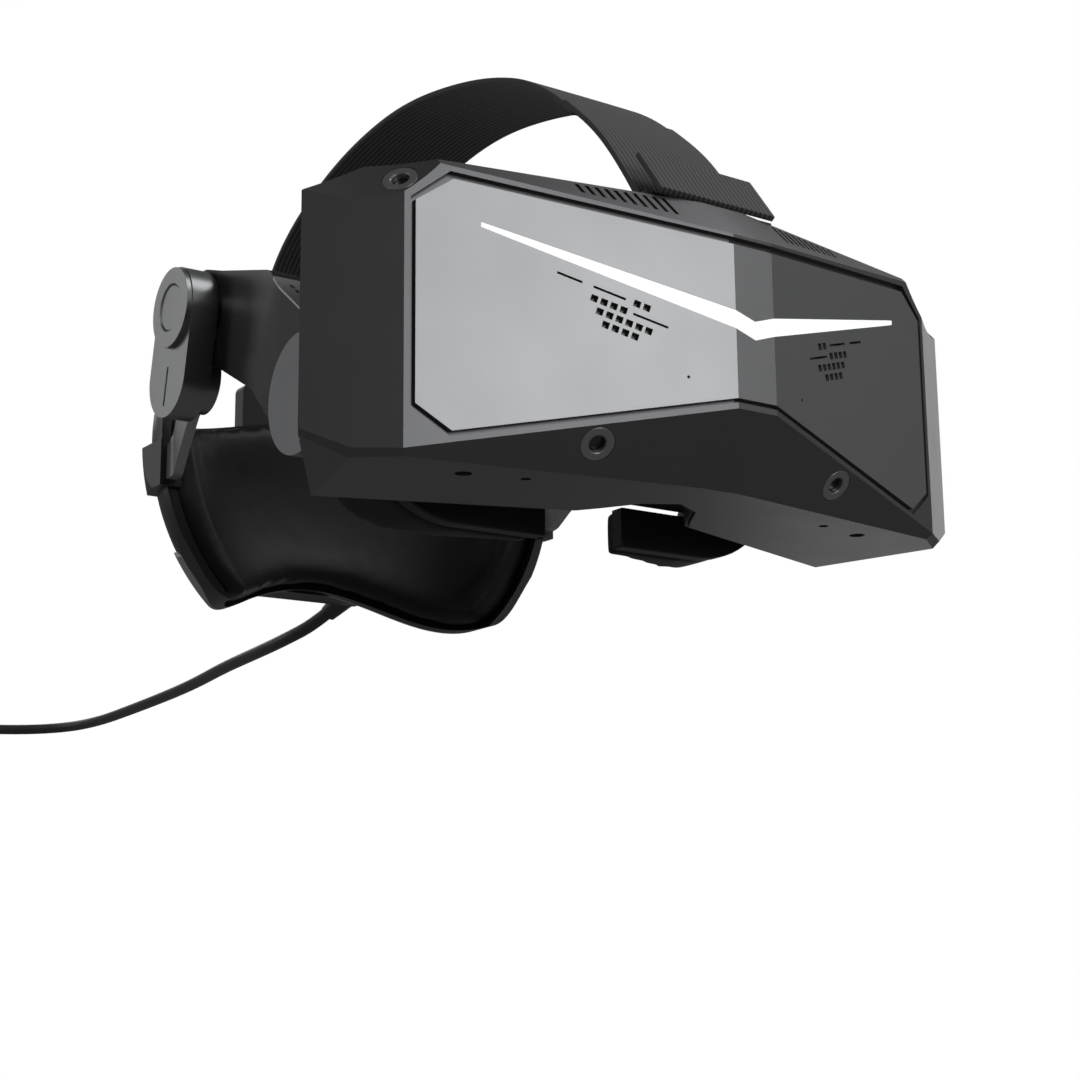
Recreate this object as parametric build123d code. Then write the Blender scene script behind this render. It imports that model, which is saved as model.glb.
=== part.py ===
from build123d import *
import os
from math import atan2, cos, degrees, pi, radians, sin, sqrt, tan

# A tethered virtual reality headset on a rigid head frame.
# Design axes: X to the wearer's left, Y from the front panel back to the head, Z up.
# While it is being built, the origin is at the front panel's centre; everything is
# shifted at the end, so that the origin lies on the table, under the middle of the headset.

# ---- overall sizes, mm
visor_half_width = 140.0
visor_depth = 97.0
visor_top = 46.0
visor_base = -52.5
table_level = -56.0
total_depth = 331.0
band_travel = 12.0
running_gap = 0.05
fit_gap = 0.3

# ---- faceted housing
crease_x = 8.2
sweep = 0.33
cheek_run = 26.4
cheek_depth = 19.0
back_inset = 28.0
wall = 2.4
front_wall = 5.0
brow_crease_z = 30.0
brow_corner_z = 44.0
brow_corner_run = 10.7
brow_depth = 15.4
chin_crease_z = -29.9
chin_corner_z = -50.4
chin_depth = 17.5
bevel_size = 2.0
corner_x = visor_half_width - cheek_run
corner_y = sweep * (corner_x - crease_x)
side_y = corner_y + cheek_depth
back_x = visor_half_width - back_inset

# ---- arm pocket, hub and tilt axis
flange = 3.2
pocket_x = 110.0
pocket_low = -46.0
pocket_high = 36.0
hub_y = 79.0
hub_z = -24.0
hub_radius = 20.0
hub_pin_radius = 4.0
arm_thickness = 11.0
cap_thickness = 5.0

# ---- scooped corner
scoop_radius = 83.7
scoop_run = 53.6
scoop_back = -63.1
scoop_height = 60.0
scoop_direction = (-0.116, 0.609, 0.784)
shoulder_run = 21.0
shoulder_low = 35.0

# ---- tracking cameras
camera_radius = 5.9
camera_depth = 2.4
camera_bore = 4.2
chin_camera_x = 51.2
chin_camera_z = -43.9
scoop_camera = (-1.0, 4.5, 39.3)
scoop_camera_normal = (0.609, -0.58, 0.541)

# ---- front panel, recess and light bar
recess_depth = 2.4
panel_thickness = 2.0
panel_rise = 26.4
slot_gap = 2.5
groove = 1.0
bar_gap = 0.15
bar_tip_x = 89.8
bar_tip_z = 25.4
bar_top_z = 3.5
bar_low_z = -2.6
bar_vertex_top = 0.9
bar_vertex_low = -5.3

# ---- top vents
vent_count = 10
vent_pitch = 3.46
vent_width = 1.5
vent_start_x = 24.2

# ---- optics
eye_x = 32.0
eye_travel = 3.5
barrel_radius = 25.0
barrel_front = 50.0
barrel_back = 80.0
lens_radius = 22.0
rail_radius = 2.0
rail_y = 60.0
rail_z = 28.0
gear_module_radius = 5.0
gear_teeth = 10
gear_y = 67.0
gear_z = 34.0
gear_width = 4.0

# ---- nose notch and underside
nose_apex_y = 41.0
notch_run_y = 68.0
notch_run_x = 25.0
shelf_z = -36.4

# ---- arms and audio pods
knee_y = 126.0
knee_z = 12.0
knee_radius = 21.0
boss_y = 199.0
boss_z = 41.0
boss_radius = 17.0
pod_face_x = 117.0
pod_band = 10.6
pod_radius = 16.0
pod_drop = 26.0
pod_lean = 12.0
arm_rear_x = 106.0
tongue_x = 94.0
tongue_thickness = 4.2
tongue_height = 14.0
tongue_z = -4.0

# ---- rear cradle
cradle_y = 258.0
cradle_rim_y = 256.0
cradle_radius = 95.5
cradle_reach = 59.0
cradle_axis_z = 10.0
shell_thickness = 4.0
pad_thickness = 11.0
lobe_x = 66.0
lobe_z = table_level
arch_z = -39.0
wing_top_z = 20.0
crown_z = 38.0
sleeve_wall = 2.6
sleeve_proud = 4.0
slot_depth = 16.0
dial_radius = 15.0
dial_z = 2.0
housing_depth = 9.5
housing_width = 80.0
housing_top = 24.0
housing_low = -40.0
knob_depth = 5.4

# ---- head strap
strap_width = 50.0
strap_thickness = 2.2

# ---- cable
cable_diameter = 6.0
cable_level = table_level + cable_diameter / 2
coil_radius = 37.0
coil_band = 26.0
coil_height = 31.5
coil_x = -112.0
coil_y = 710.0
plug_width = 19.0
plug_length = 36.0
plug_thickness = 12.0
boot_length = 14.0

big = 700.0
parts = {}


def add(name, shape):
    parts[name] = shape


def both(shape):
    return [shape, mirror(shape, about=Plane.YZ)]


def shield(a, b, c, inset=0.0):
    """A block on the outer side of the plane through three points, moved inwards by inset."""
    normal = (Vector(*b) - Vector(*a)).cross(Vector(*c) - Vector(*a)).normalized()
    base = Vector(*a) - normal * inset
    sheet = Plane(origin=base, z_dir=normal)
    return sheet * Box(big, big, big, align=(Align.CENTER, Align.CENTER, Align.MIN))


def front_y(x):
    return sweep * max(abs(x) - crease_x, 0.0)


def outline_solid(points, low, high):
    """A prism whose outline is given in X and Z, running along Y from low to high."""
    face = make_face(Polyline([(x, z) for x, z in points], close=True))
    return Plane.XZ.offset(-low) * extrude(face, amount=-(high - low))


def side_solid(face, low, high):
    """A prism whose outline is given in Y and Z, running along X from low to high."""
    return Plane.YZ.offset(low) * extrude(face, amount=high - low)


def plan_solid(points, low, high):
    """A prism whose outline is given in X and Y, from height low to height high."""
    face = make_face(Polyline(points, close=True))
    return Pos(0, 0, low) * extrude(face, amount=high - low)


def front_layer(near, far, half=None):
    """What lies between two copies of the folded front, near and far behind it."""
    edge = half or corner_x
    xs = [-edge, -crease_x, crease_x, edge]
    points = [(x, front_y(x) + near) for x in xs] + [(x, front_y(x) + far) for x in reversed(xs)]
    return plan_solid(points, visor_base, visor_top)


# ---------------------------------------------------------------- the visor housing
def facet_blocks(inset, front_inset):
    """The blocks that cut the prism down to the faceted housing, for the right half."""
    corner = (corner_x, corner_y, chin_corner_z)
    brow = (crease_x, 0, brow_crease_z)
    brow_corner = (corner_x - brow_corner_run, sweep * (corner_x - brow_corner_run - crease_x), brow_corner_z)
    brow_back = (crease_x + 0.9, brow_depth, visor_top)
    chin = (crease_x, 0, chin_crease_z)
    chin_back = (crease_x, chin_depth, visor_base + bevel_size)
    under = (crease_x, chin_depth + bevel_size, visor_base)
    bend = (visor_half_width - 13.5, corner_y + 9.7, chin_corner_z)
    bend_low = (bend[0] - 0.6, bend[1] + 2.6, visor_base)
    cheek = (visor_half_width, side_y, -43.6)
    shelf_back = (back_x, visor_depth, visor_base)
    blocks = [
        shield(brow, brow_corner, brow_back, inset),
        shield(chin, chin_back, corner, inset),
        shield(chin_back, under, corner, inset),
        shield(corner, bend_low, bend, inset),
        shield(bend, bend_low, cheek, inset),
        shield(bend_low, shelf_back, (visor_half_width - 0.9, side_y + 3.0, -45.2), inset),
        shield((crease_x, 0, 0), (corner_x, corner_y, -10), (corner_x, corner_y, 0), front_inset),
        shield(
            (visor_half_width - 0.6, side_y - 2.9, shoulder_low),
            (visor_half_width - shoulder_run, side_y + 25.1, visor_top - 4.6),
            (visor_half_width - shoulder_run, side_y - 4.9, visor_top + 0.4),
            inset,
        ),
    ]
    axis = Plane(
        origin=(corner_x + scoop_run, corner_y + scoop_back, scoop_height), z_dir=scoop_direction
    )
    blocks.append(axis * Cylinder(scoop_radius + inset, big))
    return blocks


def visor_solid(inset, front_inset):
    plan = make_face(
        Polyline(
            [
                (-back_x, visor_depth),
                (-visor_half_width, side_y),
                (-corner_x, corner_y),
                (-crease_x, 0),
                (crease_x, 0),
                (corner_x, corner_y),
                (visor_half_width, side_y),
                (back_x, visor_depth),
            ],
            close=True,
        )
    )
    if inset:
        plan = offset(plan, -inset, kind=Kind.INTERSECTION)
    height = visor_top - visor_base - 2 * inset
    body = Pos(0, 0, visor_base + inset) * extrude(plan, amount=height)
    for block in facet_blocks(inset, front_inset):
        for copy in both(block):
            body -= copy
    middle = [
        ((0, 0, brow_crease_z), (10, 0, brow_crease_z), (0, brow_depth, visor_top)),
        ((0, 0, chin_crease_z), (0, chin_depth, visor_base + bevel_size), (10, 0, chin_crease_z)),
        (
            (0, chin_depth, visor_base + bevel_size),
            (0, chin_depth + bevel_size, visor_base),
            (10, chin_depth, visor_base + bevel_size),
        ),
        ((0, 0, 0), (10, 0, -10), (10, 0, 10)),
    ]
    for number, (a, b, c) in enumerate(middle):
        body -= shield(a, b, c, front_inset if number == 3 else inset)
    for pocket in both(arm_pocket(inset)):
        body -= pocket
    return body


def arm_pocket(grow):
    """The recess behind each end face that the arm and its hub turn in."""
    start = side_y + flange - grow
    return Pos(pocket_x - grow, start, pocket_low - grow) * Box(
        60,
        80,
        pocket_high - pocket_low + 2 * grow,
        align=(Align.MIN, Align.MIN, Align.MIN),
    )


def notch_points(shift):
    return [
        (-back_x - 10, visor_depth + 3.5 + shift),
        (-notch_run_x, notch_run_y + shift),
        (-20, notch_run_y - 7 + shift),
        (-12, notch_run_y - 20 + shift),
        (0, nose_apex_y + shift),
        (12, notch_run_y - 20 + shift),
        (20, notch_run_y - 7 + shift),
        (notch_run_x, notch_run_y + shift),
        (back_x + 10, visor_depth + 3.5 + shift),
        (back_x + 10, visor_depth + 40),
        (-back_x - 10, visor_depth + 40),
    ]


def recess_outline(grow):
    """The folded front's mitred opening, in X and Z."""
    outer = corner_x - 1.9 + grow
    inner = corner_x - 14.2 + grow * 0.4
    right = [
        (crease_x, panel_rise + slot_gap + grow),
        (inner, 41.6 + grow),
        (outer, 31.8 + grow * 0.4),
        (outer, -36.6 - grow * 0.4),
        (inner, -45.9 - grow),
        (crease_x, -27.9 - grow),
    ]
    return right + [(-x, z) for x, z in reversed(right)]


def panel_outline():
    outer = corner_x - 1.9 - groove * 1.6
    inner = corner_x - 14.6
    right = [
        (crease_x, panel_rise),
        (inner - 0.6, 41.6 - slot_gap),
        (outer, 30.9),
        (outer, -35.8),
        (inner, -43.9),
        (crease_x, -panel_rise),
    ]
    return right + [(-x, z) for x, z in reversed(right)]


def bar_outline(grow):
    """The light bar: a long V that narrows to a point near each end."""
    right = [
        (0, bar_vertex_top + grow),
        (crease_x, bar_top_z + grow),
        (bar_tip_x + grow, bar_tip_z + grow),
        (bar_tip_x + grow, bar_tip_z - 1.5 - grow),
        (crease_x, bar_low_z - grow),
        (0, bar_vertex_low - grow),
    ]
    return right + [(-x, z) for x, z in reversed(right[1:-1])]


def chin_camera_plane():
    """Where a lower camera sits on the chin facet, facing out."""
    a = Vector(crease_x, 0, chin_crease_z)
    b = Vector(crease_x, chin_depth, visor_base + bevel_size)
    c = Vector(corner_x, corner_y, chin_corner_z)
    normal = (b - a).cross(c - a).normalized()
    y = (normal.dot(a) - normal.X * chin_camera_x - normal.Z * chin_camera_z) / normal.Y
    return Plane(origin=(chin_camera_x, y, chin_camera_z), z_dir=normal)


def scoop_camera_plane():
    origin = (corner_x + scoop_camera[0], corner_y + scoop_camera[1], scoop_camera[2])
    return Plane(origin=origin, z_dir=scoop_camera_normal)


def camera_planes():
    return [chin_camera_plane(), scoop_camera_plane()]


def vent_blocks():
    blocks = []
    for number in range(vent_count):
        x = vent_start_x + vent_pitch * number
        low = brow_crease_z + 6.4 + 0.43 * number
        plane_y = front_y(x)
        slot = Pos(x, plane_y + 14, (low + visor_top - 1.4) / 2) * Box(
            vent_width, 44, visor_top - 1.4 - low
        )
        blocks.append(slot)
    return blocks


def make_front_shell():
    shell = visor_solid(0.0, 0.0)
    cavity = visor_solid(wall, front_wall)
    cavity += Pos(0, visor_depth - wall - 1, 0) * Box(
        2 * (pocket_x - wall - 1), 12, visor_top - visor_base - 2 * wall - 6, align=(Align.CENTER, Align.MIN, Align.CENTER)
    ).moved(Pos(0, 0, (visor_top + visor_base) / 2))
    shell -= cavity
    shell -= plan_solid(notch_points(0), visor_base - 5, shelf_z)
    recess = outline_solid(recess_outline(0), -10, 60) & front_layer(-1, recess_depth)
    shell -= recess
    bar = outline_solid(bar_outline(bar_gap), -10, 60) & front_layer(-1, front_wall + 3)
    shell -= bar
    for plane in camera_planes():
        seat = plane * Cylinder(camera_radius + 0.1, 2 * camera_depth)
        bore = plane * Cylinder(camera_bore + 0.1, 16)
        for copy in both(seat + bore):
            shell -= copy
    lid = shield(
        (crease_x, 0, brow_crease_z),
        (corner_x - brow_corner_run, sweep * (corner_x - brow_corner_run - crease_x), brow_corner_z),
        (crease_x + 0.9, brow_depth, visor_top),
        wall + 1.2,
    )
    for slot in vent_blocks():
        for copy, cover in zip(both(slot), both(lid)):
            shell -= copy & cover
    for x, y, radius in ((85.2, 45.2, 2.85), (64.4, 40.4, 1.75)):
        for side in (-1, 1):
            shell -= Pos(side * x, y, visor_base) * Cylinder(radius, 12)
    for copy in both(hub_bore()):
        shell -= copy
    for x, y in button_places():
        shell -= Pos(x, y, visor_top) * Box(button_length + fit_gap, button_width + fit_gap, 12)
    add("front_shell", shell)


def hub_bore():
    return Pos(pocket_x, hub_y, hub_z) * Rot(0, 90, 0) * Cylinder(hub_pin_radius, 12)


# ---- the buttons on the visor's top
button_length = 14.0
button_width = 6.0
button_height = 4.0
button_proud = 1.0
button_travel = 0.8


def button_places():
    return [(66.0, 78.0), (84.0, 78.0), (-78.0, 78.0)]


def make_buttons():
    names = ["volume_up_button", "volume_down_button", "power_button"]
    switches = []
    for name, (x, y) in zip(names, button_places()):
        stem = Box(button_length, button_width, button_height)
        z = visor_top + button_proud - button_height / 2
        cap = Pos(x, y, z) * fillet(stem.edges().group_by(Axis.Z)[-1], 0.7)
        add(name, cap)
        base = visor_top + button_proud - button_height - button_travel - 0.3
        switches.append(Pos(x, y, base - 1.5) * Box(6, 5, 3))
    board_z = visor_top + button_proud - button_height - button_travel - 0.3 - 3
    strips = [
        Pos(75, 78, board_z - 0.6) * Box(40, 9, 1.2),
        Pos(-78, 78, board_z - 0.6) * Box(22, 9, 1.2),
    ]
    add("button_switches", Compound(children=[fuse_all(switches[:2] + strips[:1]), fuse_all(switches[2:] + strips[1:])]))


def fuse_all(shapes):
    total = shapes[0]
    for shape in shapes[1:]:
        total += shape
    return total


# ---------------------------------------------------------------- the front panel and what is behind it
def perforations():
    """The sensor window's square holes and dashes, in slanting rows beside the light bar."""
    lean = degrees(atan2(0.33, 1.0))
    size = 2.3
    step = (-3.13, -1.03)
    rows = [(54.4, 3.2, 4), (52.7, -1.1, 6), (50.9, -5.4, 4), (40.6, 2.6, 2)]
    dashes = [(62.1, 9.6, 8.4), (49.4, 5.5, 10.9), (36.3, -2.7, 11.9)]
    holes = []
    for x, z, count in rows:
        for number in range(count):
            holes.append((x + number * step[0], z + number * step[1], size, size, lean))
    for x, z, length in dashes:
        holes.append((x, z, length, 0.8, lean))
    return holes


def make_front_panel():
    layer = front_layer(0, panel_thickness)
    panel = outline_solid(panel_outline(), -10, 60) & layer
    panel -= outline_solid(bar_outline(bar_gap), -10, 60)
    for x, z, length, width, lean in perforations():
        hole = Pos(x, front_y(x), z) * Rot(0, -lean, 0) * Box(length, 12, width)
        for copy in both(hole):
            panel -= copy
    pinhole = Pos(24.4, front_y(24.4), -20.6) * Rot(90, 0, 0) * Cylinder(0.5, 12)
    for copy in both(pinhole):
        panel -= copy
    add("front_panel", panel)
    add("light_bar", outline_solid(bar_outline(0), -10, 60) & front_layer(0, front_wall - 0.5))
    board = outline_solid(bar_outline(1.5), -10, 60) & front_layer(front_wall + 0.8, front_wall + 2.0, bar_tip_x + 1)
    add("led_board", board)


def make_cameras():
    bezels = []
    lenses = []
    for plane in camera_planes():
        ring = Pos(0, 0, -camera_depth / 2) * Cylinder(camera_radius, camera_depth)
        ring -= Pos(0, 0, camera_depth * 0.4) * Cone(camera_bore - 1.0, camera_radius - 1.0, 2.4)
        ring -= Cylinder(camera_bore - 1.2, 12)
        lens = Pos(0, 0, -camera_depth - 2.0) * Cylinder(camera_bore - 1.4, 4.0)
        lens += Pos(0, 0, -camera_depth - 3.8) * Cylinder(camera_bore - 0.6, 1.4)
        bezels += both(plane * ring)
        lenses += both(plane * lens)
    add("camera_bezels", Compound(children=bezels))
    add("camera_modules", Compound(children=lenses))


def make_electronics():
    board = Pos(0, 35.8, 2) * Box(150, 1.6, 62)
    add("mainboard", board)
    sink = Pos(0, 33.5, 2) * Box(60, 3.0, 46)
    for number in range(15):
        sink += Pos(-28 + number * 4, 29.5, 2) * Box(1.2, 5.0, 46)
    add("heat_sink", sink)
    housing = Pos(0, 20.0, 2) * Box(50, 9.0, 46)
    housing -= Pos(0, 20.0, 2) * Rot(90, 0, 0) * Cylinder(20.5, 6.2)
    housing -= Pos(0, 25.0, 2) * Rot(90, 0, 0) * Cylinder(14, 8)
    housing -= Pos(0, 20.0, 20) * Box(30, 6.2, 20)
    housing += Pos(0, 19.2, 2) * Rot(90, 0, 0) * Cylinder(1.5, 5.0)
    add("blower_housing", housing)
    rotor = Pos(0, 20.0, 2) * Rot(90, 0, 0) * (Cylinder(8, 5) - Cylinder(1.5 + running_gap, 20))
    blades = 11
    for number in range(blades):
        angle = 360 / blades * number
        rotor += Pos(0, 20.0, 2) * Rot(0, angle, 0) * Pos(12.6, 0, 0) * Box(11.0, 5, 1.0)
    add("blower_rotor", rotor)


def make_optics():
    chassis = Pos(0, 40, 4) * Box(176, 3.0, 72)
    for side in (-1, 1):
        chassis -= Pos(side * eye_x, 40, 0) * Box(52, 8, 52)
        for z in (-rail_z, rail_z):
            chassis += Pos(side * 84, 51.5, z) * Box(8, 23, 8)
            chassis -= Pos(side * 84, rail_y, z) * Rot(0, 90, 0) * Cylinder(rail_radius, 20)
    chassis -= Pos(0, 40, gear_z) * Rot(90, 0, 0) * Cylinder(1.5, 8)
    add("inner_chassis", chassis)
    rails = [
        Pos(0, rail_y, z) * Rot(0, 90, 0) * Cylinder(rail_radius, 174) for z in (-rail_z, rail_z)
    ]
    add("lens_rails", Compound(children=rails))
    for side, name in ((-1, "right"), (1, "left")):
        length = barrel_back - barrel_front
        middle = (barrel_front + barrel_back) / 2
        barrel = Rot(90, 0, 0) * Cylinder(barrel_radius, length)
        barrel -= Rot(90, 0, 0) * Cylinder(lens_radius - 1.5, length + 2)
        barrel -= Pos(0, length / 2 - 4.0, 0) * Rot(90, 0, 0) * Cylinder(lens_radius + 0.1, 8.1)
        barrel = Pos(side * eye_x, middle, 0) * barrel
        for z in (-rail_z, rail_z):
            ear = Pos(side * eye_x, rail_y, z) * Rot(0, 90, 0) * Cylinder(4.5, 20)
            barrel += ear
        for z in (-rail_z, rail_z):
            barrel -= Pos(side * eye_x, rail_y, z) * Rot(0, 90, 0) * Cylinder(rail_radius + running_gap, 60)
        inner = Pos(side * eye_x, middle, 0) * Rot(90, 0, 0) * Cylinder(lens_radius - 1.5, length + 2)
        barrel -= inner
        barrel += make_rack(side)
        add(f"lens_barrel_{name}", barrel)
        lens = Pos(side * eye_x, barrel_back - 4.0, 0) * Rot(90, 0, 0) * Cylinder(lens_radius, 6.0)
        dome = Pos(side * eye_x, barrel_back - 7.0 - 36, 0) * Sphere(42)
        lens = lens & dome
        add(f"lens_{name}", lens)
        panel = Pos(side * eye_x, barrel_front - 1.5, 0) * Box(46, 3.0, 46)
        add(f"display_{name}", panel)


def make_rack(side):
    """The toothed bar on a lens barrel: the left barrel's runs over the pinion, the right one's under it."""
    pitch = 2 * pi * gear_module_radius / gear_teeth
    over = side > 0
    toward = -1 if over else 1
    pitch_z = gear_z + (gear_module_radius if over else -gear_module_radius)
    away = 1 if over else -1
    body_z = pitch_z + away * 2.4
    rack = Pos(side * 7.0, gear_y, body_z) * Box(42, gear_width, 2.4)
    for number in range(-3, 4):
        shift = 0 if over else pitch / 2
        x = number * pitch + shift + (pitch / 2 if over else 0)
        tooth = Pos(x, gear_y, pitch_z + away * 0.2) * Box(1.0, gear_width, 2.2)
        rack += tooth
    low = 20.0
    high = body_z + 1.2
    riser = Pos(side * 28.0, gear_y, (low + high) / 2) * Box(6, gear_width, high - low)
    return rack + riser


def make_pinion():
    gear = Rot(90, 0, 0) * Cylinder(3.6, gear_width - 0.4)
    for number in range(gear_teeth):
        angle = 360 / gear_teeth * number + 90
        gear += Rot(0, angle, 0) * Pos(4.4, 0, 0) * Box(3.0, gear_width - 0.4, 1.0)
    gear -= Rot(90, 0, 0) * Cylinder(1.0 + running_gap, 10)
    add("ipd_pinion", Pos(0, gear_y, gear_z) * gear)
    motor = Pos(0, 49.0, gear_z) * Rot(90, 0, 0) * Cylinder(4.6, 15)
    motor += Pos(0, 60.0, gear_z) * Rot(90, 0, 0) * Cylinder(1.0, 18)
    add("ipd_motor", motor)


def make_rear_cover():
    gap = fit_gap
    half = pocket_x - wall - 1 - gap
    high = visor_top - wall - 3 - gap
    plate = Pos(0, visor_depth - 1.5, (high + shelf_z) / 2) * Box(2 * half, 3.0, high - shelf_z)
    for side in (-1, 1):
        for step in (-eye_travel, eye_travel):
            plate -= Pos(side * (eye_x + step), visor_depth, 0) * Rot(90, 0, 0) * Cylinder(26.0, 20)
        plate -= Pos(side * eye_x, visor_depth, 0) * Box(2 * eye_travel, 20, 52)
    inside = plan_solid(
        [(-half, 30), (half, 30), (half, visor_depth), (-half, visor_depth)], visor_base, shelf_z + 3
    )
    apron = plan_solid(notch_points(gap), visor_base + 1, shelf_z) & inside
    apron -= plan_solid(notch_points(gap + 2.4), visor_base - 2, shelf_z - 2.4)
    add("rear_cover", plate + apron)


def make_small_visor_parts():
    screws = []
    discs = []
    for side in (-1, 1):
        screw = Pos(side * 85.2, 45.2, visor_base + 4.4) * Cylinder(2.6, 2.2)
        screw += Pos(side * 85.2, 45.2, visor_base + 9.5) * Cylinder(1.25, 8.0)
        screw -= Pos(side * 85.2, 45.2, visor_base + 3.2) * Cylinder(1.2, 2.0)
        screws.append(screw)
        discs.append(Pos(side * 64.4, 40.4, visor_base + wall + 1.2) * Cylinder(3.0, 2.0))
    add("case_screws", Compound(children=screws))
    add("microphones", Compound(children=discs))
    pins = []
    for side in (-1, 1):
        length = arm_thickness + 3.0
        pin = Pos(side * (pocket_x + length / 2 - 2.4), hub_y, hub_z) * Rot(0, 90, 0) * Cylinder(hub_pin_radius, length)
        pins.append(pin)
    add("tilt_pins", Compound(children=pins))


# ---------------------------------------------------------------- the face interface
def ring_outline(width, low, high, corner):
    box = Pos(0, (low + high) / 2) * RectangleRounded(width, high - low, corner)
    return box


def nose_arch(width, top):
    return [(-width, -90), (-width, top - width), (-width * 0.5, top), (width * 0.5, top), (width, top - width), (width, -90)]


frame_width = 184.0
frame_low = -55.0
frame_high = 42.0
frame_depth = 6.0
foam_depth = 34.0
face_radius = 118.0


def make_face_interface():
    start = visor_depth + fit_gap
    face = ring_outline(frame_width, frame_low, frame_high, 38) - ring_outline(frame_width - 26, frame_low + 15, frame_high - 12, 28)
    frame = Plane.XZ.offset(-start) * extrude(face, amount=-frame_depth)
    frame -= outline_solid(nose_arch(17, -16), start - 5, start + 60)
    add("face_frame", frame)
    pad_start = start + frame_depth
    face = ring_outline(frame_width - 2, table_level, frame_high - 0.5, 38) - ring_outline(frame_width - 30, frame_low + 17, frame_high - 14, 27)
    pad = Plane.XZ.offset(-pad_start) * extrude(face, amount=-foam_depth)
    pad -= outline_solid(nose_arch(19, -14), start - 5, start + 90)
    head = Pos(0, pad_start + 7 + face_radius, 0) * Cylinder(face_radius, 300)
    pad -= head
    add("face_foam", pad)


# ---------------------------------------------------------------- arms, pods and tongues
def hull_face(circles):
    """The outline that wraps round a run of circles, each pair joined by straight tangents."""
    total = None
    for (y1, z1, r1), (y2, z2, r2) in zip(circles, circles[1:]):
        edges = (Pos(y1, z1) * Circle(r1)).edges() + (Pos(y2, z2) * Circle(r2)).edges()
        piece = make_hull(edges)
        total = piece if total is None else total + piece
    return total


def plan_band(outer, thickness):
    inner = [(x - thickness, y) for x, y in reversed(outer)]
    return plan_solid(outer + inner, -100, 120)


def make_arms():
    outline = hull_face(
        [(hub_y, hub_z, hub_radius), (knee_y, knee_z, knee_radius), (boss_y, boss_z, boss_radius)]
    )
    outer_x = pocket_x + 1.0 + arm_thickness
    band = plan_band(
        [(outer_x, 40), (outer_x, visor_depth + 6), (arm_rear_x, boss_y - 17), (arm_rear_x, boss_y + 30)],
        arm_thickness,
    )
    run = Vector(0, knee_y - hub_y, knee_z - hub_z)
    slope = run.normalized()
    facing = Vector(0, -slope.Z, slope.Y)
    middle = Vector(pocket_x + 6, hub_y, hub_z) + slope * run.length * 0.58 + facing * (knee_radius - 0.3)
    trim_plane = Plane(origin=middle, x_dir=(1, 0, 0), z_dir=facing)
    trims = []
    for side, name in ((-1, "right"), (1, "left")):
        arm = side_solid(outline, 80, 140) & band
        strip = arm & (trim_plane * Pos(0, 0, 0.3) * Box(40, 44, 2.6))
        arm -= trim_plane * Pos(0, 0, 0.3) * Box(40, 44 + 0.4, 2.7)
        for along in (-11, -6.5, 9.5, 14):
            strip -= trim_plane * Pos(0.5 * along / 10 - 0.5, along, 0) * Box(1.8, 3.0, 20)
        trims.append(strip if side > 0 else mirror(strip, about=Plane.YZ))
        arm -= Pos(pocket_x + 6, hub_y, hub_z) * Rot(0, 90, 0) * Cylinder(hub_pin_radius + running_gap, 40)
        pin_x = arm_rear_x + pod_band / 2
        arm += Pos(pin_x, boss_y, boss_z) * Rot(0, 90, 0) * Cylinder(5.0, pod_band)
        add(f"arm_{name}", arm if side > 0 else mirror(arm, about=Plane.YZ))
    add("arm_trims", Compound(children=[piece for trim in trims for piece in trim.solids()]))
    caps = []
    for side in (-1, 1):
        x = outer_x + 0.1 + cap_thickness / 2
        cap = Pos(side * x, hub_y, hub_z) * Rot(0, 90, 0) * Cylinder(hub_radius + 0.5, cap_thickness)
        caps.append(cap)
    add("hub_caps", Compound(children=caps))


def make_pods():
    lean = Vector(0, sin(radians(pod_lean)), -cos(radians(pod_lean)))
    low = Vector(0, boss_y, boss_z) + lean * pod_drop
    outline = hull_face([(boss_y, boss_z, pod_radius), (low.Y, low.Z, pod_radius)])
    inner_x = arm_rear_x + fit_gap
    for side, name in ((-1, "right"), (1, "left")):
        pod = side_solid(outline, inner_x, pod_face_x)
        pod -= Pos(inner_x, boss_y, boss_z) * Rot(0, 90, 0) * Cylinder(5.0 + running_gap, 2 * (pod_band + 0.1))
        lobe = side_solid(hull_face([(low.Y, low.Z, 12.5), (low.Y, low.Z + 1, 12.5)]), inner_x - 6.0, inner_x)
        lobe -= Pos(inner_x, boss_y, boss_z) * Rot(0, 90, 0) * Cylinder(boss_radius + 1.0, 40)
        lobe -= side_solid(
            hull_face([(knee_y, knee_z, knee_radius + 1.0), (boss_y, boss_z, boss_radius + 1.0)]), 60, 140
        )
        pod += lobe
        pod -= Pos(inner_x - 2.0, low.Y, low.Z) * Rot(0, 90, 0) * Cylinder(8.0 + fit_gap, 8.1)
        cap = Pos(pod_face_x + 1.0, boss_y, boss_z) * Rot(0, 90, 0) * Cylinder(15.5, 2.0)
        cap -= Pos(pod_face_x + 1.9, boss_y, boss_z) * Rot(0, 90, 0) * Cone(8.5, 10.0, 1.0)
        driver = Pos(inner_x - 1.0, low.Y, low.Z) * Rot(0, 90, 0) * Cylinder(8.0, 6.0)
        grille = Pos(inner_x - 5.0, low.Y, low.Z) * Rot(0, 90, 0) * Cylinder(8.0, 1.6)
        shapes = {"pod": pod, "pod_cap": cap, "speaker": driver, "speaker_grille": grille}
        for kind, shape in shapes.items():
            add(f"{kind}_{name}", shape if side > 0 else mirror(shape, about=Plane.YZ))


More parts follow.
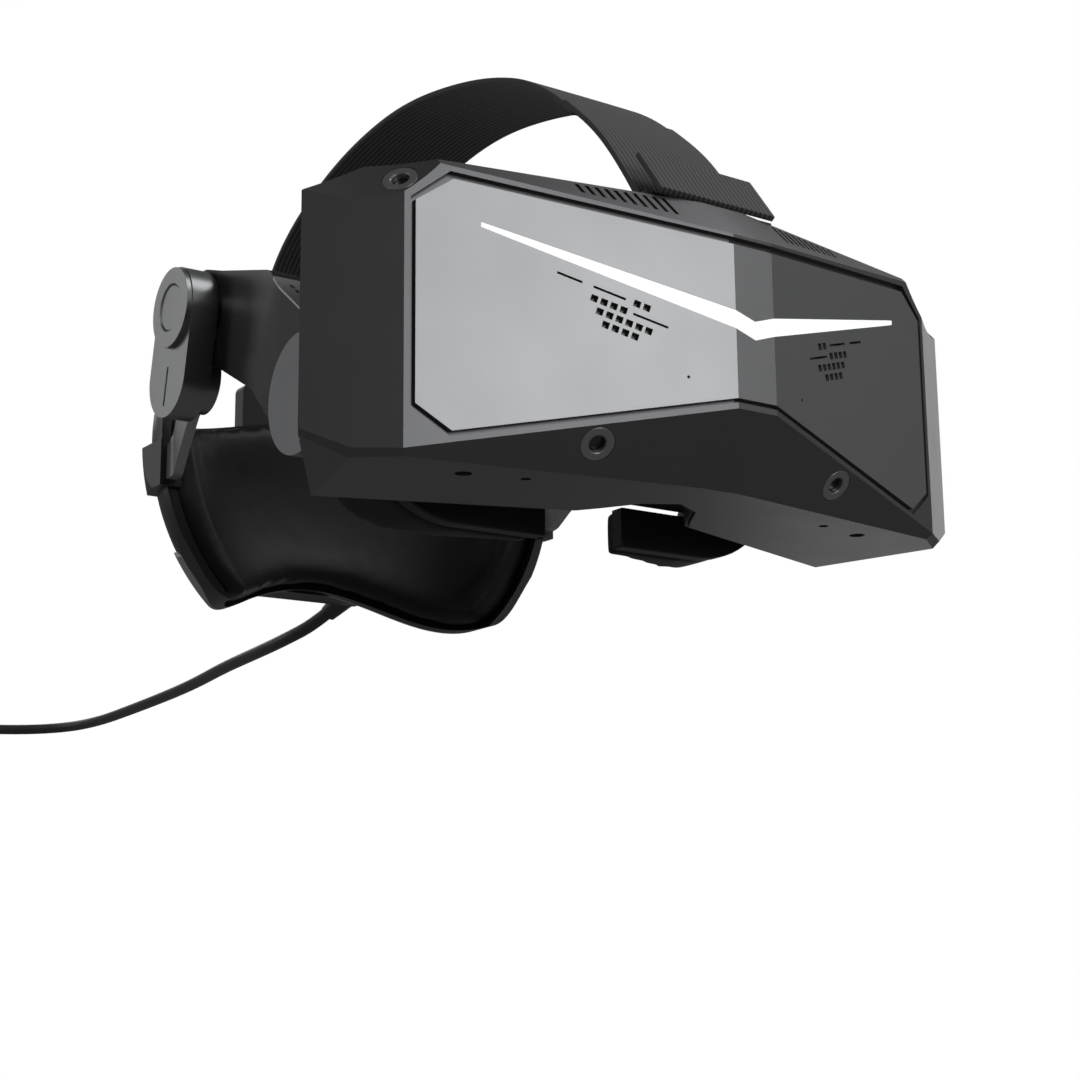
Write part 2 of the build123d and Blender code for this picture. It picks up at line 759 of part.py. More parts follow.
def make_tongues():
    slot_start = cradle_rim_y
    end_y = slot_start + slot_depth
    outer_x = arm_rear_x - 7.2
    plan = plan_band(
        [(outer_x, boss_y + 4), (outer_x, boss_y + 24), (tongue_x, slot_start - 8), (tongue_x, end_y)],
        tongue_thickness,
    )
    half = tongue_height / 2
    start = (boss_y + 10, boss_z - 8, half)
    neck_y = slot_start - 6
    outline = hull_face([start, (boss_y + 30, 15, 10.0), (neck_y - 6, tongue_z + 5, half), (neck_y, tongue_z, half)])
    outline += Pos((neck_y + end_y) / 2, tongue_z) * Rectangle(end_y - neck_y, tongue_height)
    tongue = side_solid(outline, 80, 140) & plan
    tongue -= parts["arm_left"]
    add("tongue_left", tongue)
    add("tongue_right", mirror(tongue, about=Plane.YZ))


# ---------------------------------------------------------------- rear cradle
def bowl(grow):
    """The cradle's bowl lying on its side: a short straight rim, then half an ellipsoid."""
    radius = cradle_radius + grow
    reach = cradle_reach + grow
    front = cradle_rim_y - 60
    back = cradle_y + reach
    arc = EllipticalCenterArc((0, cradle_y), radius, reach, start_angle=0, arc_size=90)
    edges = [
        Line((0, front), (radius, front)),
        Line((radius, front), (radius, cradle_y)),
        arc,
        Line((0, back), (0, front)),
    ]
    return Pos(0, 0, cradle_axis_z) * revolve(make_face(edges), axis=Axis.Y)


def cradle_outline(inset):
    """The cradle from behind, in X and Z: wings at the sides, two low lobes and an arch."""
    wide = cradle_radius + 8
    shoulder = cradle_radius * 0.74
    elbow = cradle_radius * 0.87
    top = Spline(
        (wide, wing_top_z - inset),
        (shoulder, wing_top_z + 3 - inset),
        (0, crown_z - inset),
        (-shoulder, wing_top_z + 3 - inset),
        (-wide, wing_top_z - inset),
    )
    low = Spline(
        (-wide, -16 + inset),
        (-elbow, -36 + inset),
        (-lobe_x, lobe_z + inset),
        (-lobe_x * 0.5, lobe_z + 9 + inset),
        (0, arch_z + inset),
        (lobe_x * 0.5, lobe_z + 9 + inset),
        (lobe_x, lobe_z + inset),
        (elbow, -36 + inset),
        (wide, -16 + inset),
    )
    sides = [Line(top @ 1, low @ 0), Line(low @ 1, top @ 0)]
    return make_face([top.edge(), sides[0].edge(), low.edge(), sides[1].edge()])


def along_y(face, low, high):
    return Plane.XZ.offset(-low) * extrude(face, amount=-(high - low))


def tongue_box(side_gap, end_gap, start):
    """A box round the tongue's straight end, from start to a little past its tip."""
    tip = cradle_rim_y + slot_depth + end_gap
    return Pos(tongue_x - tongue_thickness / 2, (start + tip) / 2, tongue_z) * Box(
        tongue_thickness + 2 * side_gap, tip - start, tongue_height + 2 * side_gap
    )


def trim_band(grow):
    """The thin strip along the shell's lower edge."""
    far = cradle_y + cradle_reach + 20
    band = (bowl(1.2 + grow) - bowl(0.05)) & along_y(cradle_outline(0), cradle_y + 6, far)
    band -= along_y(cradle_outline(2.6 + grow), cradle_y - 5, far + 5)
    return band & Pos(0, far, lobe_z) * Box(2 * lobe_x + 30, 200, 60)


def make_cradle():
    far = cradle_y + cradle_reach + 20
    window = along_y(cradle_outline(0), cradle_rim_y, far)
    shell = (bowl(0) - bowl(-shell_thickness)) & window
    sleeve = tongue_box(sleeve_wall, sleeve_wall, cradle_rim_y - 2) & bowl(sleeve_proud)
    slot = tongue_box(fit_gap, fit_gap, cradle_rim_y - 10)
    for copy in both(sleeve):
        shell += copy
    for copy in both(slot):
        shell -= copy
    back = cradle_y + cradle_reach
    shell -= Pos(0, back, dial_z) * Rot(90, 0, 0) * Cylinder(9.0, 16)
    add("cradle_shell", shell)
    pad_window = along_y(cradle_outline(2.0), cradle_rim_y + 1, far)
    pad = (bowl(-shell_thickness - fit_gap) & pad_window) - bowl(-shell_thickness - pad_thickness)
    half = pad & Pos(big, 0, 0) * Box(2 * big, 2 * big, 2 * big)
    half -= tongue_box(sleeve_wall + fit_gap, sleeve_wall + fit_gap, cradle_rim_y - 4)
    add("cradle_pad", half + mirror(half, about=Plane.YZ))
    add("cradle_trim", trim_band(0).solids().sort_by(SortBy.VOLUME)[-1])


def make_dial():
    back = cradle_y + cradle_reach
    base = back - 1.5
    middle = (housing_top + housing_low) / 2
    housing = Pos(0, base + housing_depth / 2, middle) * Box(housing_width, housing_depth, housing_top - housing_low)
    housing += Pos(0, base - 7, middle) * Box(housing_width, 14, housing_top - housing_low)
    housing = fillet(housing.edges().filter_by(Axis.Y), 8)
    housing -= bowl(0.05)
    housing -= trim_band(0.2)
    housing -= Pos(0, base, dial_z) * Rot(90, 0, 0) * Cylinder(10.5, 2 * (housing_depth - 2.5))
    housing -= Pos(0, base, dial_z) * Rot(90, 0, 0) * Cylinder(5.0 + running_gap, 40)
    add("dial_housing", housing)
    knob_start = base + housing_depth + fit_gap
    knob = Pos(0, knob_start + knob_depth / 2, dial_z) * Rot(90, 0, 0) * Cylinder(dial_radius, knob_depth)
    for number in range(24):
        notch = Rot(0, 15 * number, 0) * Pos(dial_radius, 0, 0) * Rot(90, 0, 0) * Cylinder(0.8, 20)
        knob -= Pos(0, knob_start, dial_z) * notch
    shaft_start = back - shell_thickness + 0.8
    shaft_length = knob_start + 0.5 - shaft_start
    shaft = Pos(0, shaft_start + shaft_length / 2, dial_z) * Rot(90, 0, 0) * Cylinder(5.0, shaft_length)
    add("adjust_dial", knob + shaft)
    gear_middle = base + (housing_depth - 2.5) - 2.3
    gear = Pos(0, gear_middle, dial_z) * Rot(90, 0, 0) * Cylinder(6.5, 4.0)
    for number in range(12):
        gear += Pos(0, gear_middle, dial_z) * Rot(0, 30 * number, 0) * Pos(7.5, 0, 0) * Box(4.0, 4.0, 1.8)
    gear -= Pos(0, gear_middle, dial_z) * Rot(90, 0, 0) * Cylinder(5.0, 10)
    add("dial_gear", gear)


# ---------------------------------------------------------------- top strap
def strap_path():
    """The strap's centreline in Y and Z, from the front of the head over the top to the cradle."""
    return [
        (76, 104),
        (87, 112),
        (106, 122),
        (134, 133.5),
        (173, 141.3),
        (203, 142),
        (233, 138),
        (257, 131),
        (285, 119),
        (309, 100),
        (319, 76),
        (320.5, 42),
    ]


def strap_solid(points, width, thickness):
    line = Spline([(y, z) for y, z in points])
    face = trace_line(line, thickness)
    return side_solid(face, -width / 2, width / 2)


def trace_line(line, thickness):
    """A thin face of even thickness along a line."""
    left = offset_points(line, thickness / 2)
    right = offset_points(line, -thickness / 2)
    a = Spline(left)
    b = Spline(right)
    ends = [Line(a @ 1, b @ 1), Line(b @ 0, a @ 0)]
    return make_face([a.edge(), ends[0].edge(), b.edge(), ends[1].edge()])


def offset_points(line, distance):
    count = 14
    made = []
    for number in range(count + 1):
        point = line @ (number / count)
        direction = line % (number / count)
        made.append((point.X - direction.Y * distance, point.Y + direction.X * distance))
    return made


def make_strap():
    add("top_strap", strap_solid(strap_path(), strap_width, strap_thickness))
    front = [(29, 48.5), (34, 57), (48, 78.5), (64, 93)]
    tail = [(26.2, 50.2), (31.2, 58.8), (36.4, 66.8)]
    layers = [strap_solid(line, strap_width, strap_thickness) for line in (front, tail)]
    add("strap_front", Compound(children=layers))
    slot = trace_line(Spline(front), strap_thickness + 2 * fit_gap)
    plate = Pos(0, 28, visor_top + 1.2) * Box(strap_width + 6, 13, 2.4)
    plate -= side_solid(slot, -strap_width / 2 - fit_gap, strap_width / 2 + fit_gap)
    add("strap_anchor_front", plate.solids().sort_by(SortBy.VOLUME)[-1])
    points = strap_path()
    slot = trace_line(Spline(points), strap_thickness + 2 * fit_gap)
    loop = Pos(0, points[-1][0], crown_z + 6) * Box(strap_width + 10, 8.0, 24)
    loop = fillet(loop.edges().filter_by(Axis.Y), 4)
    loop -= side_solid(slot, -strap_width / 2 - fit_gap, strap_width / 2 + fit_gap)
    loop -= bowl(0.05)
    add("strap_anchor_rear", loop.solids().sort_by(SortBy.VOLUME)[-1])


# ---------------------------------------------------------------- the tether
def cable_points():
    return [
        (32.1, 327.2, -33.5),
        (25, 344, -45),
        (17.5, 366, -51.6),
        (19.5, 398, cable_level),
        (26, 445, cable_level),
        (37, 502, cable_level),
        (44, 552, cable_level),
        (51, 620, cable_level),
        (56, 680, cable_level),
        (50, 722, cable_level),
        (24, 749, cable_level),
        (-30, 757, cable_level),
        (-72, coil_y + coil_radius + 9.5, cable_level),
        (coil_x + 12, coil_y + coil_radius + 8, cable_level),
    ]


def tube_radii(points):
    radii = []
    for a, b, c in zip(points, points[1:], points[2:]):
        first = Vector(*b) - Vector(*a)
        second = Vector(*c) - Vector(*b)
        turn = radians(first.get_angle(second))
        shorter = min(first.length, second.length)
        radii.append(0.45 * shorter / tan(turn / 2))
    return radii


def make_cable():
    points = cable_points()
    radii = tube_radii(points)
    path = FilletPolyline(points, radius=radii)
    start = Plane(origin=path @ 0, z_dir=path % 0)
    tube = sweep_tube(start, path)
    add("cable", tube)
    ideal = pi * cable_diameter**2 / 4 * path.length
    print("cable radii", [round(r, 1) for r in radii])
    print("cable length", round(path.length, 1), "volume ratio", round(tube.volume / ideal, 4))
    ring = Pos(coil_x, coil_y, table_level + coil_height / 2) * (
        Cylinder(coil_radius + coil_band / 2, coil_height) - Cylinder(coil_radius - coil_band / 2, coil_height + 2)
    )
    ring = fillet(ring.edges(), 5.0)
    add("cable_coil", ring)


def sweep_tube(start, path):
    return sweep_along(start * Circle(cable_diameter / 2), path)


def sweep_along(section, path):
    wire = path.wire() if hasattr(path, "wire") else path
    return sweep_solid(section, wire)


def sweep_solid(section, wire):
    return Solid.sweep(section.face(), wire)


def make_cable_ends():
    points = cable_points()
    a = Vector(*points[0])
    b = Vector(*points[1])
    direction = (b - a).normalized()
    gland = Plane(origin=a, z_dir=direction) * Pos(0, 0, 5) * Cone(6.0, 3.9, 20.0)
    gland -= Plane(origin=a, z_dir=direction) * Cylinder(cable_diameter / 2 + running_gap, 80)
    housing_back = cradle_y + cradle_reach - 1.5 + housing_depth
    gland -= Pos(0, housing_back - 50 + 0.05, a.Z) * Box(200, 100, 100)
    add("cable_gland", gland)
    tie = Box(7.0, coil_band + 3.0, coil_height + 2.4) - Box(9.0, coil_band + 0.8, coil_height + 0.2)
    add("cable_tie", Pos(coil_x, coil_y - coil_radius, table_level + coil_height / 2) * tie)
    top = table_level + coil_height
    level = top + plug_thickness / 2 + running_gap
    place = Pos(coil_x - coil_radius, coil_y, level)
    body = Pos(0, -8, 0) * Box(plug_width, plug_length, plug_thickness)
    body = fillet(body.edges().filter_by(Axis.Y), 3)
    boot = Rot(90, 0, 0) * Cone(plug_thickness / 2 - 1, cable_diameter / 2 + 0.3, boot_length)
    body += Pos(0, plug_length / 2 - 8 + boot_length / 2, 0) * mirror(boot, about=Plane.XZ)
    add("cable_plug", place * body)
    nose = Pos(0, -8 - plug_length / 2 - 6, 0) * Box(16, 12, 5)
    nose -= Pos(0, -8 - plug_length / 2 - 7, 0) * Box(14.6, 12, 3.6)
    add("plug_shell", place * nose)


# ---------------------------------------------------------------- everything
make_front_shell()
make_buttons()
make_front_panel()
make_cameras()
make_electronics()
make_optics()
make_pinion()
make_rear_cover()
make_small_visor_parts()
make_face_interface()
make_arms()
make_pods()
make_tongues()
make_cradle()
make_dial()
make_strap()
make_cable()
make_cable_ends()

os.makedirs("parts", exist_ok=True)
to_table = Pos(0, -total_depth / 2, -table_level)
for name, shape in parts.items():
    export_step(to_table * shape, f"parts/{name}.step")
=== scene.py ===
from math import cos, pi, radians, sin

import bmesh
import bpy
from mathutils import Matrix, Vector


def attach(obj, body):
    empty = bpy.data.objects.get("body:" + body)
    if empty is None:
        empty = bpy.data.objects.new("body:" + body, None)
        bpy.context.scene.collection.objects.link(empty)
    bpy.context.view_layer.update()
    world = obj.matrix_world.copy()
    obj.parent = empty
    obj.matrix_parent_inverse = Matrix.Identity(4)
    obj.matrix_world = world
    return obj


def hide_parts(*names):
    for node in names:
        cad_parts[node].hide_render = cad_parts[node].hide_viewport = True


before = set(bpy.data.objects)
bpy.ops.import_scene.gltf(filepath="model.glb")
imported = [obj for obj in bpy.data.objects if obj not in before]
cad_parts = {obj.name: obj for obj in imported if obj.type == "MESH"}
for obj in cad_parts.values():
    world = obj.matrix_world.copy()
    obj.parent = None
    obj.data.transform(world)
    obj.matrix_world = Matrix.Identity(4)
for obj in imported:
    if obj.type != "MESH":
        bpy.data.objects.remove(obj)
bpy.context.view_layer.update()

shiftY, shiftZ = -165.5, 56.0   # from the visor's own axes to the table frame, mm


def at(x, y, z):
    return Vector((x, y + shiftY, z + shiftZ)) / 1000


def deselectAll():
    if bpy.context.object and bpy.context.object.mode != "OBJECT":
        bpy.ops.object.mode_set(mode="OBJECT")
    bpy.ops.object.select_all(action="DESELECT")


def pick(*things):
    deselectAll()
    for thing in things:
        thing.select_set(True)
    bpy.context.view_layer.objects.active = things[-1]


def settle(piece):
    pick(piece)
    bpy.ops.object.transform_apply(location=True, rotation=True, scale=True)


def applyAll(piece):
    pick(piece)
    for modifier in list(piece.modifiers):
        bpy.ops.object.modifier_apply(modifier=modifier.name)


# the camera, then the room it stands in
viewSettings = {"place": (-0.4193, -0.6439, -0.1544), "lens": 67.09, "sensor": 36.0}

camera = bpy.data.objects.new("camera", bpy.data.cameras.new("camera"))
bpy.context.collection.objects.link(camera)
right = Vector((0.82259, -0.56855, -0.00981))
down = Vector((0.11387, 0.18160, -0.97676))
forward = Vector((0.55712, 0.80235, 0.21412))
turn = Matrix((right, -down, -forward)).transposed().to_4x4()
camera.matrix_world = Matrix.Translation(viewSettings["place"]) @ turn
camera.data.lens = viewSettings["lens"]
camera.data.sensor_width = viewSettings["sensor"]
camera.data.clip_start = 0.01
bpy.context.scene.camera = camera

room = {
    "white": 1.0, "fill": 0.10,
    "lamps": [   # name, from which side, distance, width, height, watts
        ("frontBox", (-0.03, -0.97, 0.22), 1.7, 0.8, 1.0, 6.6),
        ("centreBox", (0.557, -0.80, 0.214), 1.7, 0.16, 0.8, 0.55),
        ("rightBox", (0.925, -0.32, 0.214), 1.9, 0.4, 0.9, 0.20),
        ("rightRim", (0.94, 0.27, 0.21), 1.7, 0.3, 0.8, 1.5),
        ("lowBack", (0.80, 0.56, -0.24), 1.5, 0.5, 0.5, 0.42),
        ("topBox", (0.50, -0.34, 0.79), 1.6, 1.2, 0.9, 7.5),
        ("leftRim", (-0.93, 0.20, 0.34), 1.6, 0.30, 0.9, 1.2),
        ("podBox", (-0.557, 0.80, 0.214), 1.6, 0.5, 0.8, 1.15),
        ("backRim", (0.10, 0.90, 0.42), 1.8, 1.0, 0.6, 1.8),
    ],
}
target = Vector((0, 0, 0.09))


def buildRoom():
    world = bpy.data.worlds.new("studio")
    bpy.context.scene.world = world
    world.use_nodes = True
    tree = world.node_tree
    back = tree.nodes["Background"]
    path = tree.nodes.new("ShaderNodeLightPath")
    mix = tree.nodes.new("ShaderNodeMix")
    mix.data_type = "FLOAT"
    mix.inputs[2].default_value = room["fill"]
    mix.inputs[3].default_value = room["white"]
    tree.links.new(path.outputs["Is Camera Ray"], mix.inputs[0])
    tree.links.new(mix.outputs[0], back.inputs["Strength"])
    back.inputs["Color"].default_value = (1, 1, 1, 1)
    for name, side, distance, width, height, watts in room["lamps"]:
        lamp = bpy.data.objects.new(name, bpy.data.lights.new(name, "AREA"))
        lamp.data.shape = "RECTANGLE"
        lamp.data.size, lamp.data.size_y, lamp.data.energy = width, height, watts
        lamp.location = target + Vector(side).normalized() * distance
        lamp.rotation_euler = (target - lamp.location).to_track_quat("-Z", "Y").to_euler()
        bpy.context.collection.objects.link(lamp)
    bpy.context.scene.view_settings.view_transform = "Standard"
    bpy.context.scene.view_settings.look = "None"


buildRoom()
print("room and camera ready")


# shared effects for the materials
def newGroup(name, sockets):
    group = bpy.data.node_groups.new(name, "ShaderNodeTree")
    for label, direction, kind, value in sockets:
        socket = group.interface.new_socket(label, in_out=direction, socket_type=kind)
        if value is not None:
            socket.default_value = value
    return group, group.nodes.new("NodeGroupInput"), group.nodes.new("NodeGroupOutput")


def makeMouldedGrain():
    # fine pits and a slow drift of gloss
    group, start, end = newGroup("mouldedGrain", [
        ("Scale", "INPUT", "NodeSocketFloat", 2600.0),
        ("Depth", "INPUT", "NodeSocketFloat", 0.15),
        ("Roughness", "INPUT", "NodeSocketFloat", 0.4),
        ("Drift", "INPUT", "NodeSocketFloat", 0.06),
        ("Normal", "OUTPUT", "NodeSocketVector", None),
        ("Roughness", "OUTPUT", "NodeSocketFloat", None),
    ])
    nodes, link = group.nodes, group.links.new
    place = nodes.new("ShaderNodeTexCoord")
    fine = nodes.new("ShaderNodeTexNoise")
    fine.inputs["Detail"].default_value = 3
    slow = nodes.new("ShaderNodeTexNoise")
    slow.inputs["Scale"].default_value = 38
    slow.inputs["Detail"].default_value = 2
    link(place.outputs["Object"], fine.inputs["Vector"])
    link(place.outputs["Object"], slow.inputs["Vector"])
    link(start.outputs["Scale"], fine.inputs["Scale"])
    bump = nodes.new("ShaderNodeBump")
    bump.inputs["Distance"].default_value = 0.00012
    link(start.outputs["Depth"], bump.inputs["Strength"])
    link(fine.outputs["Fac"], bump.inputs["Height"])
    link(bump.outputs["Normal"], end.inputs["Normal"])
    centred = nodes.new("ShaderNodeMath")
    centred.operation = "SUBTRACT"
    centred.inputs[1].default_value = 0.5
    link(slow.outputs["Fac"], centred.inputs[0])
    spread = nodes.new("ShaderNodeMath")
    spread.operation = "MULTIPLY_ADD"
    link(centred.outputs[0], spread.inputs[0])
    link(start.outputs["Drift"], spread.inputs[1])
    link(start.outputs["Roughness"], spread.inputs[2])
    link(spread.outputs[0], end.inputs["Roughness"])
    return group


mouldedGrain = makeMouldedGrain()


def moulded(name, colour, roughness, metallic=0.0, scale=2600, depth=0.12, drift=0.06,
            coat=0.0, specular=0.5):
    paint = bpy.data.materials.new(name)
    paint.use_nodes = True
    tree = paint.node_tree
    shader = tree.nodes["Principled BSDF"]
    shader.inputs["Base Color"].default_value = (*colour, 1)
    shader.inputs["Metallic"].default_value = metallic
    shader.inputs["Coat Weight"].default_value = coat
    shader.inputs["Coat Roughness"].default_value = 0.2
    shader.inputs["Specular IOR Level"].default_value = specular
    shader.inputs["Roughness"].default_value = roughness
    if not depth and not drift:
        return paint
    grain = tree.nodes.new("ShaderNodeGroup")
    grain.node_tree = mouldedGrain
    grain.inputs["Scale"].default_value = scale
    grain.inputs["Depth"].default_value = depth
    grain.inputs["Roughness"].default_value = roughness
    grain.inputs["Drift"].default_value = drift
    tree.links.new(grain.outputs["Normal"], shader.inputs["Normal"])
    tree.links.new(grain.outputs["Roughness"], shader.inputs["Roughness"])
    return paint


def tinted(paint, dark, light, scale, detail=3):
    # the base colour drifts between two close tones
    tree = paint.node_tree
    place = tree.nodes.new("ShaderNodeTexCoord")
    noise = tree.nodes.new("ShaderNodeTexNoise")
    noise.inputs["Scale"].default_value = scale
    noise.inputs["Detail"].default_value = detail
    ramp = tree.nodes.new("ShaderNodeValToRGB")
    ramp.color_ramp.elements[0].position, ramp.color_ramp.elements[1].position = 0.3, 0.7
    ramp.color_ramp.elements[0].color = (*dark, 1)
    ramp.color_ramp.elements[1].color = (*light, 1)
    tree.links.new(place.outputs["Object"], noise.inputs["Vector"])
    tree.links.new(noise.outputs["Fac"], ramp.inputs["Fac"])
    tree.links.new(ramp.outputs["Color"], tree.nodes["Principled BSDF"].inputs["Base Color"])
    return paint


def wovenRibs(name, along, across, colours, roughness):
    # ribs and fine warp threads, on the band's own map in metres
    paint = bpy.data.materials.new(name)
    paint.use_nodes = True
    tree = paint.node_tree
    nodes, link = tree.nodes, tree.links.new
    shader = nodes["Principled BSDF"]
    shader.inputs["Roughness"].default_value = roughness
    shader.inputs["Sheen Weight"].default_value = 0.25
    shader.inputs["Sheen Roughness"].default_value = 0.5
    place = nodes.new("ShaderNodeTexCoord")
    split = nodes.new("ShaderNodeSeparateXYZ")
    link(place.outputs["UV"], split.inputs[0])
    waves = []
    for output, pitch in (("Y", across), ("X", along)):
        scaled = nodes.new("ShaderNodeMath")
        scaled.operation = "MULTIPLY"
        scaled.inputs[1].default_value = 2 * pi / pitch
        link(split.outputs[output], scaled.inputs[0])
        wave = nodes.new("ShaderNodeMath")
        wave.operation = "SINE"
        link(scaled.outputs[0], wave.inputs[0])
        waves.append(wave)
    both = nodes.new("ShaderNodeMath")
    both.operation = "MULTIPLY_ADD"
    both.inputs[1].default_value = 0.28
    link(waves[1].outputs[0], both.inputs[0])
    link(waves[0].outputs[0], both.inputs[2])
    ramp = nodes.new("ShaderNodeMapRange")
    ramp.inputs["From Min"].default_value = -1.2
    ramp.inputs["From Max"].default_value = 1.2
    link(both.outputs[0], ramp.inputs["Value"])
    tone = nodes.new("ShaderNodeMix")
    tone.data_type = "RGBA"
    tone.inputs[6].default_value = (*colours[0], 1)
    tone.inputs[7].default_value = (*colours[1], 1)
    link(ramp.outputs["Result"], tone.inputs[0])
    link(tone.outputs[2], shader.inputs["Base Color"])
    bump = nodes.new("ShaderNodeBump")
    bump.inputs["Strength"].default_value = 0.7
    bump.inputs["Distance"].default_value = 0.0003
    link(ramp.outputs["Result"], bump.inputs["Height"])
    link(bump.outputs["Normal"], shader.inputs["Normal"])
    return paint


def glowing(name, colour, strength):
    paint = moulded(name, colour, 0.35)
    shader = paint.node_tree.nodes["Principled BSDF"]
    shader.inputs["Emission Color"].default_value = (*colour, 1)
    shader.inputs["Emission Strength"].default_value = strength
    return paint


finishes = {
    "visorSatin": moulded("visorSatin", (0.16, 0.162, 0.168), 0.40, metallic=0.85,
                          scale=3600, depth=0.06, drift=0.05),
    "panelSatin": moulded("panelSatin", (0.30, 0.304, 0.31), 0.36, metallic=0.9,
                          scale=5200, depth=0.05, drift=0.05),
    "barLight": glowing("barLight", (0.95, 0.97, 1.0), 0.72),
    "greyPlastic": moulded("greyPlastic", (0.13, 0.133, 0.138), 0.42, metallic=0.3, scale=3000, depth=0.08),
    "podGrey": moulded("podGrey", (0.30, 0.305, 0.31), 0.30, metallic=0.85, scale=4200, depth=0.04),
    "ringMetal": moulded("ringMetal", (0.34, 0.345, 0.35), 0.34, metallic=0.8, scale=4200, depth=0.04),
    "hubGrey": moulded("hubGrey", (0.22, 0.225, 0.235), 0.42, metallic=0.5, scale=3200, depth=0.06),
    "lightGrey": moulded("lightGrey", (0.46, 0.465, 0.47), 0.34, metallic=0.35, scale=3000, depth=0.06),
    "armBlack": moulded("armBlack", (0.003, 0.0033, 0.0032), 0.34, scale=3200, depth=0.05, specular=0.14),
    "shellBlack": moulded("shellBlack", (0.020, 0.021, 0.023), 0.36, scale=3200, depth=0.06),
    "cradleGrey": moulded("cradleGrey", (0.06, 0.062, 0.066), 0.32, metallic=0.6, scale=3200, depth=0.05),
    "steel": moulded("steel", (0.55, 0.56, 0.58), 0.28, metallic=1.0, scale=1800, depth=0.05),
    "aluminium": moulded("aluminium", (0.60, 0.61, 0.63), 0.35, metallic=1.0, scale=2200, depth=0.08),
    "darkGlass": moulded("darkGlass", (0.006, 0.006, 0.009), 0.06, coat=1.0, depth=0.0, drift=0.0),
    "board": tinted(moulded("board", (0.01, 0.09, 0.05), 0.5, scale=900, depth=0.2),
                    (0.008, 0.07, 0.04), (0.015, 0.12, 0.065), 260),
    "innerPlastic": moulded("innerPlastic", (0.018, 0.018, 0.02), 0.55, scale=1800, depth=0.25),
    "knitBlack": moulded("knitBlack", (0.010, 0.010, 0.011), 0.55, scale=1500, depth=0.4, specular=0.35),
    "padBlack": moulded("padBlack", (0.009, 0.0095, 0.0105), 0.5, scale=1300, depth=0.3, specular=0.4),
    "ribbedBand": wovenRibs("ribbedBand", 0.0009, 0.0021, ((0.006, 0.006, 0.0065), (0.095, 0.097, 0.10)), 0.75),
    "cableSheath": moulded("cableSheath", (0.055, 0.057, 0.06), 0.38, scale=2200, depth=0.08),
}


def makeLensGlass():
    paint = moulded("lensGlass", (0.9, 0.95, 1.0), 0.03, depth=0.0, drift=0.0, coat=0.6)
    shader = paint.node_tree.nodes["Principled BSDF"]
    shader.inputs["Transmission Weight"].default_value = 0.9
    shader.inputs["IOR"].default_value = 1.49
    return paint


finishes["lensGlass"] = makeLensGlass()

nodeFinish = {
    "visorSatin": ["front_shell"],
    "panelSatin": ["front_panel"],
    "barLight": ["light_bar"],
    "ringMetal": ["camera_bezels"],
    "hubGrey": ["hub_caps"],
    "greyPlastic": ["adjust_dial", "dial_gear", "blower_rotor", "ipd_pinion"],
    "podGrey": ["pod_left", "pod_right", "pod_cap_left", "pod_cap_right"],
    "lightGrey": ["tongue_left", "tongue_right", "arm_trims", "cradle_trim"],
    "armBlack": ["arm_left", "arm_right"],
    "cradleGrey": ["cradle_shell"],
    "shellBlack": ["dial_housing", "strap_anchor_rear", "strap_anchor_front", "power_button",
                   "volume_up_button", "volume_down_button", "speaker_grille_left", "speaker_grille_right"],
    "steel": ["lens_rails", "ipd_motor", "case_screws", "tilt_pins", "plug_shell"],
    "aluminium": ["heat_sink"],
    "darkGlass": ["camera_modules", "display_left", "display_right", "speaker_left", "speaker_right",
                  "microphones"],
    "lensGlass": ["lens_left", "lens_right"],
    "board": ["led_board", "mainboard", "button_switches"],
    "innerPlastic": ["inner_chassis", "blower_housing", "rear_cover", "lens_barrel_left",
                     "lens_barrel_right", "face_frame"],
    "knitBlack": ["face_foam", "cable_tie"],
    "padBlack": ["cradle_pad"],
    "ribbedBand": ["top_strap", "strap_front"],
    "cableSheath": ["cable", "cable_coil", "cable_plug", "cable_gland"],
}
finishOf = {node: name for name, nodes in nodeFinish.items() for node in nodes}


edgeRule = {"joinWithin": 0.000004, "sharpFrom": 15, "roundFrom": 28, "segments": 2}   # m, then degrees


def makeSmoothByAngle():
    # joins a node's loose triangles, smooths the shallow edges and keeps the sharp ones
    group = bpy.data.node_groups.new("smoothByAngle", "GeometryNodeTree")
    group.interface.new_socket("Geometry", in_out="INPUT", socket_type="NodeSocketGeometry")
    group.interface.new_socket("Geometry", in_out="OUTPUT", socket_type="NodeSocketGeometry")
    nodes, link = group.nodes, group.links.new
    start, end = nodes.new("NodeGroupInput"), nodes.new("NodeGroupOutput")
    merge = nodes.new("GeometryNodeMergeByDistance")
    merge.inputs["Distance"].default_value = edgeRule["joinWithin"]
    faces = nodes.new("GeometryNodeSetShadeSmooth")
    faces.domain = "FACE"
    faces.inputs["Shade Smooth"].default_value = True
    edges = nodes.new("GeometryNodeSetShadeSmooth")
    edges.domain = "EDGE"
    edges.inputs["Shade Smooth"].default_value = False
    angle = nodes.new("GeometryNodeInputMeshEdgeAngle")
    sharp = nodes.new("FunctionNodeCompare")
    sharp.operation = "GREATER_THAN"
    sharp.inputs["B"].default_value = radians(edgeRule["sharpFrom"])
    link(start.outputs[0], merge.inputs["Geometry"])
    link(merge.outputs["Geometry"], faces.inputs["Geometry"])
    link(faces.outputs["Geometry"], edges.inputs["Geometry"])
    link(angle.outputs["Unsigned Angle"], sharp.inputs["A"])
    link(sharp.outputs["Result"], edges.inputs["Selection"])
    link(edges.outputs["Geometry"], end.inputs[0])
    return group


